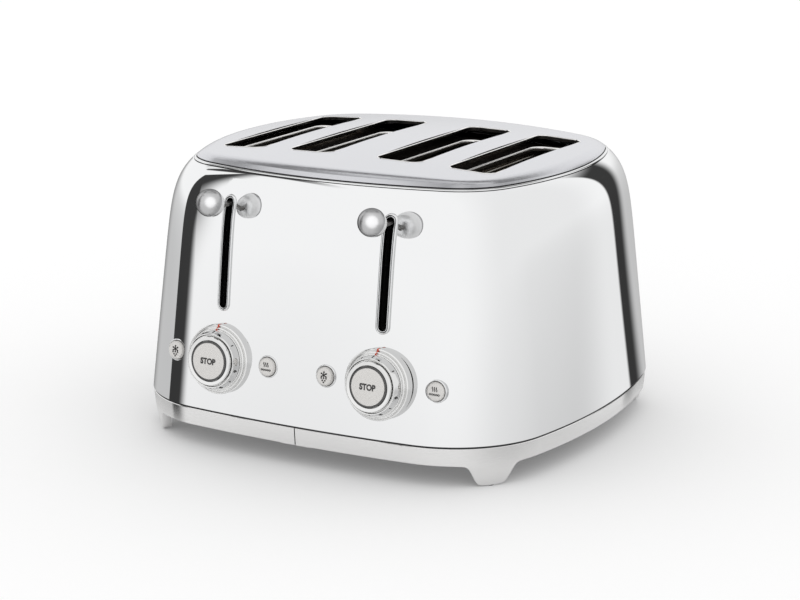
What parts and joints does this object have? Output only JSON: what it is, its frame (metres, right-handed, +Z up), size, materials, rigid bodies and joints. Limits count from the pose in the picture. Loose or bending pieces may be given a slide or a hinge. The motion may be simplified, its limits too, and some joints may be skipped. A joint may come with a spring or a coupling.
{
  "type": "toaster",
  "caption": "Polished steel toaster with extra-wide slots in a satin top, ball-ended levers, turning browning dials, round buttons and slide-out crumb trays.",
  "frame": {"origin": "middle of the whole toaster's footprint, on the surface it stands on", "axes": "+Z up; the front with the levers and dials faces -Y; +X is to the right seen from the front"},
  "size_m": [0.33, 0.3208, 0.2066],
  "materials": {
    "polished_shell": "mirror-polished steel",
    "polished_trim": "polished chrome plate",
    "polished_knob": "polished chrome plate",
    "satin_top": "bead-blasted satin steel",
    "satin_base": "satin die-cast metal",
    "dial_metal": "satin and polished chrome plate, with painted numbers",
    "button_metal": "satin warm grey",
    "black_plastic": "black moulded heat-proof plastic",
    "rubber_pads": "black rubber",
    "zinc_sheet": "zinc-plated sheet steel",
    "bright_sheet": "bright aluminised sheet, slightly browned by heat",
    "tray_sheet": "plain sheet steel",
    "wire_steel": "bright wire, slightly heat-tinted",
    "mica_heater": "mica board with heating ribbon",
    "screw_steel": "bright zinc-plated steel",
    "spring_steel": "bright spring wire",
    "coil_copper": "enamelled copper winding on steel",
    "circuit_board": "green solder mask"
  },
  "bodies": {
    "root": {"body_shell": "polished_shell", "top_plate": "satin_top", "base_ring_right": "satin_base", "base_ring_left": "satin_base", "foot_pads": "rubber_pads", "bottom_plate": "zinc_sheet", "base_screws": "screw_steel", "cord_gland": "black_plastic", "chamber_front": "bright_sheet", "chamber_rear": "bright_sheet", "chamber_top": "bright_sheet", "side_reflectors": "bright_sheet", "guide_rods": "screw_steel", "button_bezels": "polished_trim", "lever_bezel_right": "polished_trim", "lever_bezel_left": "polished_trim", "slot_liner_right": "black_plastic", "slot_liner_left": "black_plastic", "dial_flange_right": "polished_trim", "dial_flange_left": "polished_trim", "control_frame_right": "black_plastic", "control_frame_left": "black_plastic", "control_board_right": "circuit_board", "control_board_left": "circuit_board", "latch_magnet_right": "coil_copper", "latch_magnet_left": "coil_copper", "return_spring_right": "spring_steel", "return_spring_left": "spring_steel", "heater_left_outer": "mica_heater", "heater_left_middle": "mica_heater", "heater_left_inner": "mica_heater", "heater_right_outer": "mica_heater", "heater_right_middle": "mica_heater", "heater_right_inner": "mica_heater"},
    "lever_carriage_left": {"carriage_left": "zinc_sheet", "lever_knob_left": "polished_knob", "bread_rack_left_outer": "wire_steel", "bread_rack_left_inner": "wire_steel"},
    "dial_left": {"dial_left": "dial_metal"},
    "stop_button_left": {"stop_button_left": "button_metal"},
    "defrost_button_left": {"defrost_button_left": "button_metal"},
    "reheat_button_left": {"reheat_button_left": "button_metal"},
    "crumb_tray_left": {"crumb_tray_left": "tray_sheet"},
    "lever_carriage_right": {"carriage_right": "zinc_sheet", "lever_knob_right": "polished_knob", "bread_rack_right_outer": "wire_steel", "bread_rack_right_inner": "wire_steel"},
    "dial_right": {"dial_right": "dial_metal"},
    "stop_button_right": {"stop_button_right": "button_metal"},
    "defrost_button_right": {"defrost_button_right": "button_metal"},
    "reheat_button_right": {"reheat_button_right": "button_metal"},
    "crumb_tray_right": {"crumb_tray_right": "tray_sheet"},
    "bread_guide_left_outer_wallside": {"bread_guide_left_outer_wallside": "wire_steel"},
    "bread_guide_left_outer_midside": {"bread_guide_left_outer_midside": "wire_steel"},
    "bread_guide_left_inner_wallside": {"bread_guide_left_inner_wallside": "wire_steel"},
    "bread_guide_left_inner_midside": {"bread_guide_left_inner_midside": "wire_steel"},
    "bread_guide_right_inner_wallside": {"bread_guide_right_inner_wallside": "wire_steel"},
    "bread_guide_right_inner_midside": {"bread_guide_right_inner_midside": "wire_steel"},
    "bread_guide_right_outer_wallside": {"bread_guide_right_outer_wallside": "wire_steel"},
    "bread_guide_right_outer_midside": {"bread_guide_right_outer_midside": "wire_steel"}
  },
  "joints": [
    {"name": "lever_slide_left", "type": "slide", "parent": "root", "child": "lever_carriage_left", "axis": [0, 0, -1], "range_m": [0, 0.0688], "stiffness_N_per_m": 100, "springref_m": -0.03, "deforming": ["return_spring_left"]},
    {"name": "dial_turn_left", "type": "hinge", "parent": "root", "child": "dial_left", "pos_m": [-0.06375, -0.14137, 0.0675], "axis": [0, 0.9937, -0.112], "range_deg": [0, 255]},
    {"name": "stop_press_left", "type": "slide", "parent": "root", "child": "stop_button_left", "axis": [0, 0.9937, -0.112], "range_m": [0, 0.002], "stiffness_N_per_m": 400, "springref_m": -0.001},
    {"name": "defrost_press_left", "type": "slide", "parent": "root", "child": "defrost_button_left", "axis": [0, 0.9937, -0.112], "range_m": [0, 0.0015], "stiffness_N_per_m": 400, "springref_m": -0.001},
    {"name": "reheat_press_left", "type": "slide", "parent": "root", "child": "reheat_button_left", "axis": [0, 0.9937, -0.112], "range_m": [0, 0.0015], "stiffness_N_per_m": 400, "springref_m": -0.001},
    {"name": "crumb_tray_slide_left", "type": "slide", "parent": "root", "child": "crumb_tray_left", "axis": [0, 1, 0], "range_m": [0, 0.19]},
    {"name": "lever_slide_right", "type": "slide", "parent": "root", "child": "lever_carriage_right", "axis": [0, 0, -1], "range_m": [0, 0.0688], "stiffness_N_per_m": 100, "springref_m": -0.03, "deforming": ["return_spring_right"]},
    {"name": "dial_turn_right", "type": "hinge", "parent": "root", "child": "dial_right", "pos_m": [0.06375, -0.14137, 0.0675], "axis": [0, 0.9937, -0.112], "range_deg": [0, 255]},
    {"name": "stop_press_right", "type": "slide", "parent": "root", "child": "stop_button_right", "axis": [0, 0.9937, -0.112], "range_m": [0, 0.002], "stiffness_N_per_m": 400, "springref_m": -0.001},
    {"name": "defrost_press_right", "type": "slide", "parent": "root", "child": "defrost_button_right", "axis": [0, 0.9937, -0.112], "range_m": [0, 0.0015], "stiffness_N_per_m": 400, "springref_m": -0.001},
    {"name": "reheat_press_right", "type": "slide", "parent": "root", "child": "reheat_button_right", "axis": [0, 0.9937, -0.112], "range_m": [0, 0.0015], "stiffness_N_per_m": 400, "springref_m": -0.001},
    {"name": "crumb_tray_slide_right", "type": "slide", "parent": "root", "child": "crumb_tray_right", "axis": [0, 1, 0], "range_m": [0, 0.19]},
    {"name": "guide_hinge_left_outer_wallside", "type": "hinge", "parent": "root", "child": "bread_guide_left_outer_wallside", "pos_m": [-0.1086, 0.00375, 0.19], "axis": [0, -1, 0], "range_deg": [0, 3.5]},
    {"name": "guide_hinge_left_outer_midside", "type": "hinge", "parent": "root", "child": "bread_guide_left_outer_midside", "pos_m": [-0.0756, 0.00375, 0.19], "axis": [0, 1, 0], "range_deg": [0, 3.5]},
    {"name": "guide_hinge_left_inner_wallside", "type": "hinge", "parent": "root", "child": "bread_guide_left_inner_wallside", "pos_m": [-0.0519, 0.00375, 0.19], "axis": [0, -1, 0], "range_deg": [0, 3.5]},
    {"name": "guide_hinge_left_inner_midside", "type": "hinge", "parent": "root", "child": "bread_guide_left_inner_midside", "pos_m": [-0.0189, 0.00375, 0.19], "axis": [0, 1, 0], "range_deg": [0, 3.5]},
    {"name": "guide_hinge_right_inner_wallside", "type": "hinge", "parent": "root", "child": "bread_guide_right_inner_wallside", "pos_m": [0.0519, 0.00375, 0.19], "axis": [0, 1, 0], "range_deg": [0, 3.5]},
    {"name": "guide_hinge_right_inner_midside", "type": "hinge", "parent": "root", "child": "bread_guide_right_inner_midside", "pos_m": [0.0189, 0.00375, 0.19], "axis": [0, -1, 0], "range_deg": [0, 3.5]},
    {"name": "guide_hinge_right_outer_wallside", "type": "hinge", "parent": "root", "child": "bread_guide_right_outer_wallside", "pos_m": [0.1086, 0.00375, 0.19], "axis": [0, 1, 0], "range_deg": [0, 3.5]},
    {"name": "guide_hinge_right_outer_midside", "type": "hinge", "parent": "root", "child": "bread_guide_right_outer_midside", "pos_m": [0.0756, 0.00375, 0.19], "axis": [0, -1, 0], "range_deg": [0, 3.5]}
  ],
  "couplings": [
    {"joint": "guide_hinge_left_outer_wallside", "follows": "lever_slide_left", "rad_per_m": 0.8878},
    {"joint": "guide_hinge_left_outer_midside", "follows": "lever_slide_left", "rad_per_m": 0.8878},
    {"joint": "guide_hinge_left_inner_wallside", "follows": "lever_slide_left", "rad_per_m": 0.8878},
    {"joint": "guide_hinge_left_inner_midside", "follows": "lever_slide_left", "rad_per_m": 0.8878},
    {"joint": "guide_hinge_right_inner_wallside", "follows": "lever_slide_right", "rad_per_m": 0.8878},
    {"joint": "guide_hinge_right_inner_midside", "follows": "lever_slide_right", "rad_per_m": 0.8878},
    {"joint": "guide_hinge_right_outer_wallside", "follows": "lever_slide_right", "rad_per_m": 0.8878},
    {"joint": "guide_hinge_right_outer_midside", "follows": "lever_slide_right", "rad_per_m": 0.8878}
  ]
}
